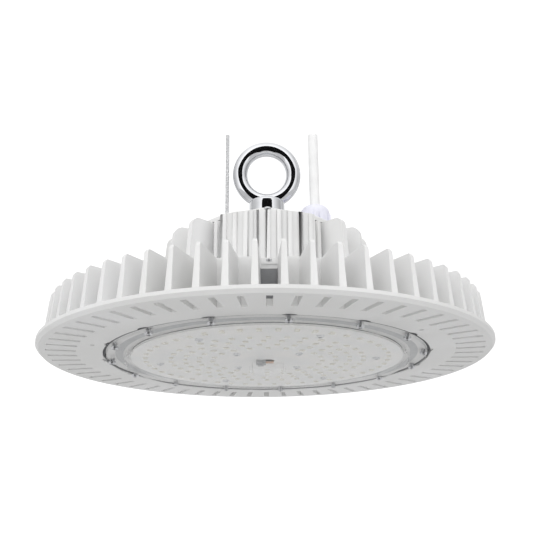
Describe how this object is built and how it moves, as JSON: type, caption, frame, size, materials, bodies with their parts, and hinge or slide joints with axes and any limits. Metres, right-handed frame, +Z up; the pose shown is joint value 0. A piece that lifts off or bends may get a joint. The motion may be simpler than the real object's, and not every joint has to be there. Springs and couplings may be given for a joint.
{
  "type": "high bay light",
  "caption": "Round suspended high bay light with a finned heat sink, ribbed driver housing, clear lens, eye bolt, cable gland and safety rope.",
  "frame": {"origin": "centre of the suspension eye's hole, from which the light hangs", "axes": "+Z up, along the light's axis; +Y through the suspension eye's hole; the earthing pad faces -Y"},
  "size_m": [0.325, 0.325, 0.1945],
  "materials": {
    "casting_paint": "satin white powder coat",
    "bright_chrome": "polished",
    "zinc_screw": "satin",
    "gland_nylon": "moulded",
    "seal_rubber": "matt",
    "cable_sheath": "extruded",
    "galvanised_wire": "stranded",
    "zinc_fitting": "satin",
    "driver_potting": "matt",
    "pad_silicone": "matt",
    "board_white": "matt white solder mask",
    "chip_phosphor": "cast",
    "connector_plastic": "moulded",
    "lens_clear": "clear moulded"
  },
  "bodies": {
    "root": {"heat_sink": "casting_paint", "earth_screw": "zinc_screw", "driver_housing": "casting_paint", "driver_cover": "casting_paint", "cover_gasket": "seal_rubber", "eye_bolt": "bright_chrome", "eye_bolt_washer": "bright_chrome", "eye_bolt_nut": "bright_chrome", "gland_washer": "seal_rubber", "gland_body": "gland_nylon", "gland_seal": "seal_rubber", "gland_nut": "gland_nylon", "power_cable": "cable_sheath", "safety_rope": "galvanised_wire", "rope_anchor": "zinc_fitting", "anchor_nut": "zinc_fitting", "led_driver": "driver_potting", "driver_screws": "zinc_screw", "thermal_pad": "pad_silicone", "led_board": "board_white", "led_chips": "chip_phosphor", "board_screws": "zinc_screw", "board_connector": "connector_plastic", "lens_cover": "lens_clear", "lens_gasket": "seal_rubber", "lens_screws": "zinc_screw", "cover_screws": "zinc_screw", "housing_screws": "zinc_screw"}
  },
  "joints": []
}
